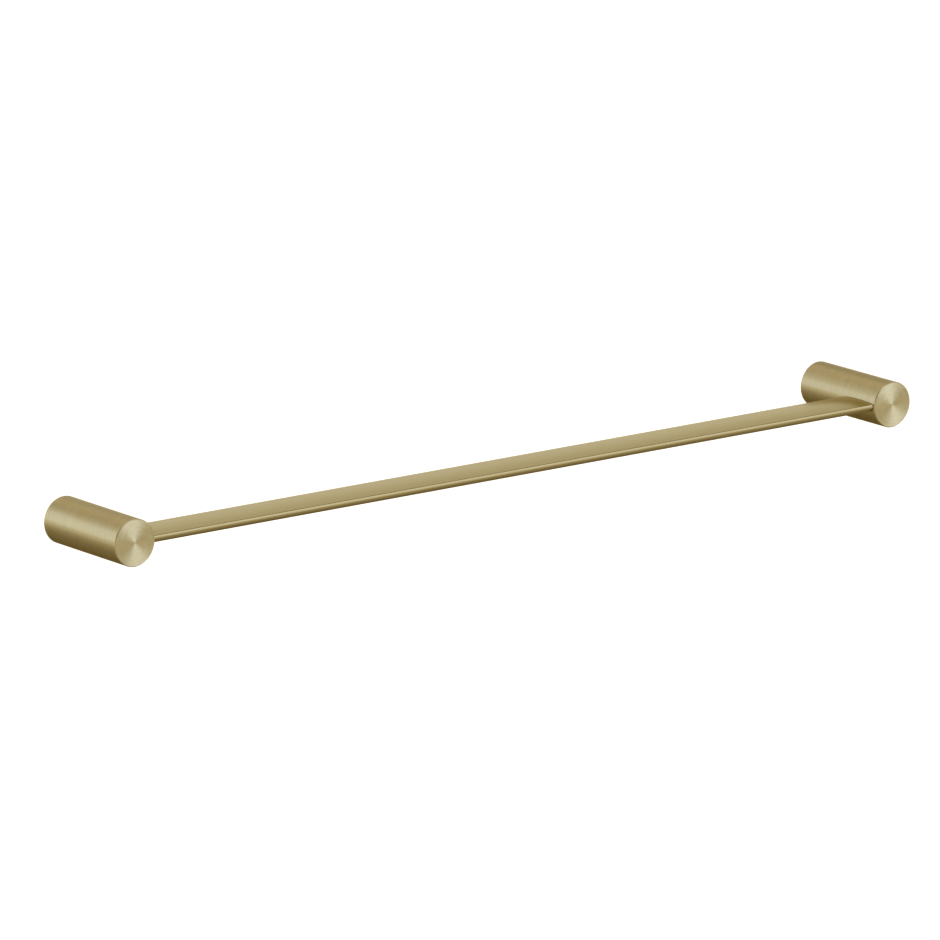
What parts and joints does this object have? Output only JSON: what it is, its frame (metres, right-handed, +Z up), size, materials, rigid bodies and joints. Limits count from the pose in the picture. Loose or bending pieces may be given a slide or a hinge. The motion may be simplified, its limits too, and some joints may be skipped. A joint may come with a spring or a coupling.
{
  "type": "towel rail",
  "caption": "Wall-hung towel rail: a flat bar with a rounded front edge, slotted into round turned posts that stand off the wall and hide their fixings, in brushed gold-coloured brass.",
  "frame": {"origin": "on the wall plane, midway between the two wall screws, at the height of the post axes", "axes": "+X along the bar, +Y into the wall along the post axes, +Z up"},
  "size_m": [0.63, 0.075, 0.03],
  "materials": {
    "brushed_brass": "fine satin brushing, gold-coloured",
    "plain_brass": "as turned",
    "stainless_steel": "plain stainless steel"
  },
  "bodies": {
    "root": {"towel_bar": "brushed_brass", "left_post": "brushed_brass", "right_post": "brushed_brass", "left_wall_bracket": "plain_brass", "right_wall_bracket": "plain_brass", "left_grub_screw": "stainless_steel", "right_grub_screw": "stainless_steel", "left_bar_screw": "stainless_steel", "right_bar_screw": "stainless_steel"}
  },
  "joints": []
}
